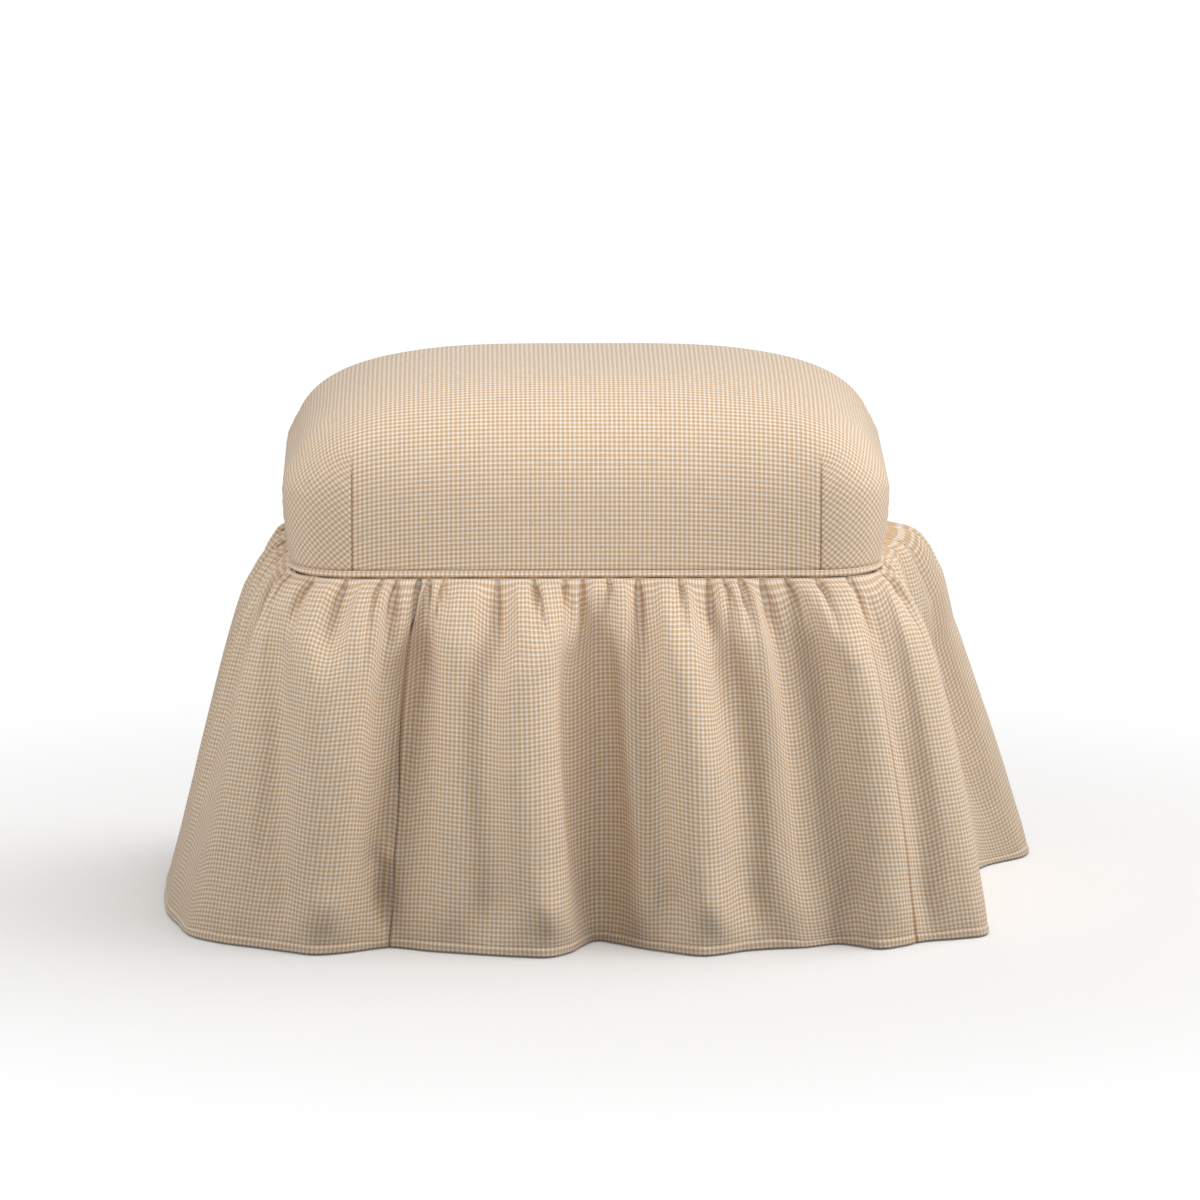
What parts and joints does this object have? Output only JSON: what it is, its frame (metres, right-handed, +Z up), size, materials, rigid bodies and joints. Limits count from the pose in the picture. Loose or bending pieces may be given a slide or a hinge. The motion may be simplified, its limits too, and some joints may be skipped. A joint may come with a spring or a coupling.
{
  "type": "skirted ottoman",
  "caption": "Low rectangular ottoman with a soft crowned seat in small check cloth, a piped edge and a gathered skirt to the floor over a wooden frame.",
  "frame": {"origin": "on the floor under the middle of the seat", "axes": "+X along the seat's long side to the viewer's right, +Y from front to back, +Z up; the front faces -Y"},
  "size_m": [0.7335, 0.5775, 0.4599],
  "materials": {
    "check_cloth": "matte",
    "hardwood": "matte",
    "jute_webbing": "matte",
    "burlap": "matte",
    "seat_foam": "matte",
    "batting": "matte",
    "cotton_cord": "matte",
    "cotton_tape": "matte",
    "cambric": "matte",
    "cardboard": "matte",
    "steel": "satin",
    "nylon": "matte"
  },
  "bodies": {
    "root": {"batting_wrap": "batting", "brace_back_left": "hardwood", "brace_back_right": "hardwood", "brace_bolts": "steel", "brace_front_left": "hardwood", "brace_front_right": "hardwood", "brace_screws": "steel", "burlap_sheet": "burlap", "dust_cover": "cambric", "dust_staples": "steel", "foam_core": "seat_foam", "gathering_tape": "cotton_tape", "glide_back_left": "nylon", "glide_back_right": "nylon", "glide_front_left": "nylon", "glide_front_right": "nylon", "glide_nails": "steel", "post_back_left": "hardwood", "post_back_right": "hardwood", "post_front_left": "hardwood", "post_front_right": "hardwood", "rail_back": "hardwood", "rail_dowels": "hardwood", "rail_front": "hardwood", "rail_left": "hardwood", "rail_right": "hardwood", "seat_cover": "check_cloth", "skirt_back": "check_cloth", "skirt_front": "check_cloth", "skirt_left": "check_cloth", "skirt_right": "check_cloth", "skirt_staples": "steel", "strap_cross_1": "jute_webbing", "strap_cross_2": "jute_webbing", "strap_cross_3": "jute_webbing", "strap_cross_4": "jute_webbing", "strap_cross_5": "jute_webbing", "strap_long_1": "jute_webbing", "strap_long_2": "jute_webbing", "strap_long_3": "jute_webbing", "tack_strip": "cardboard", "webbing_staples": "steel", "welt_cord": "cotton_cord", "welt_sleeve": "check_cloth"}
  },
  "joints": []
}
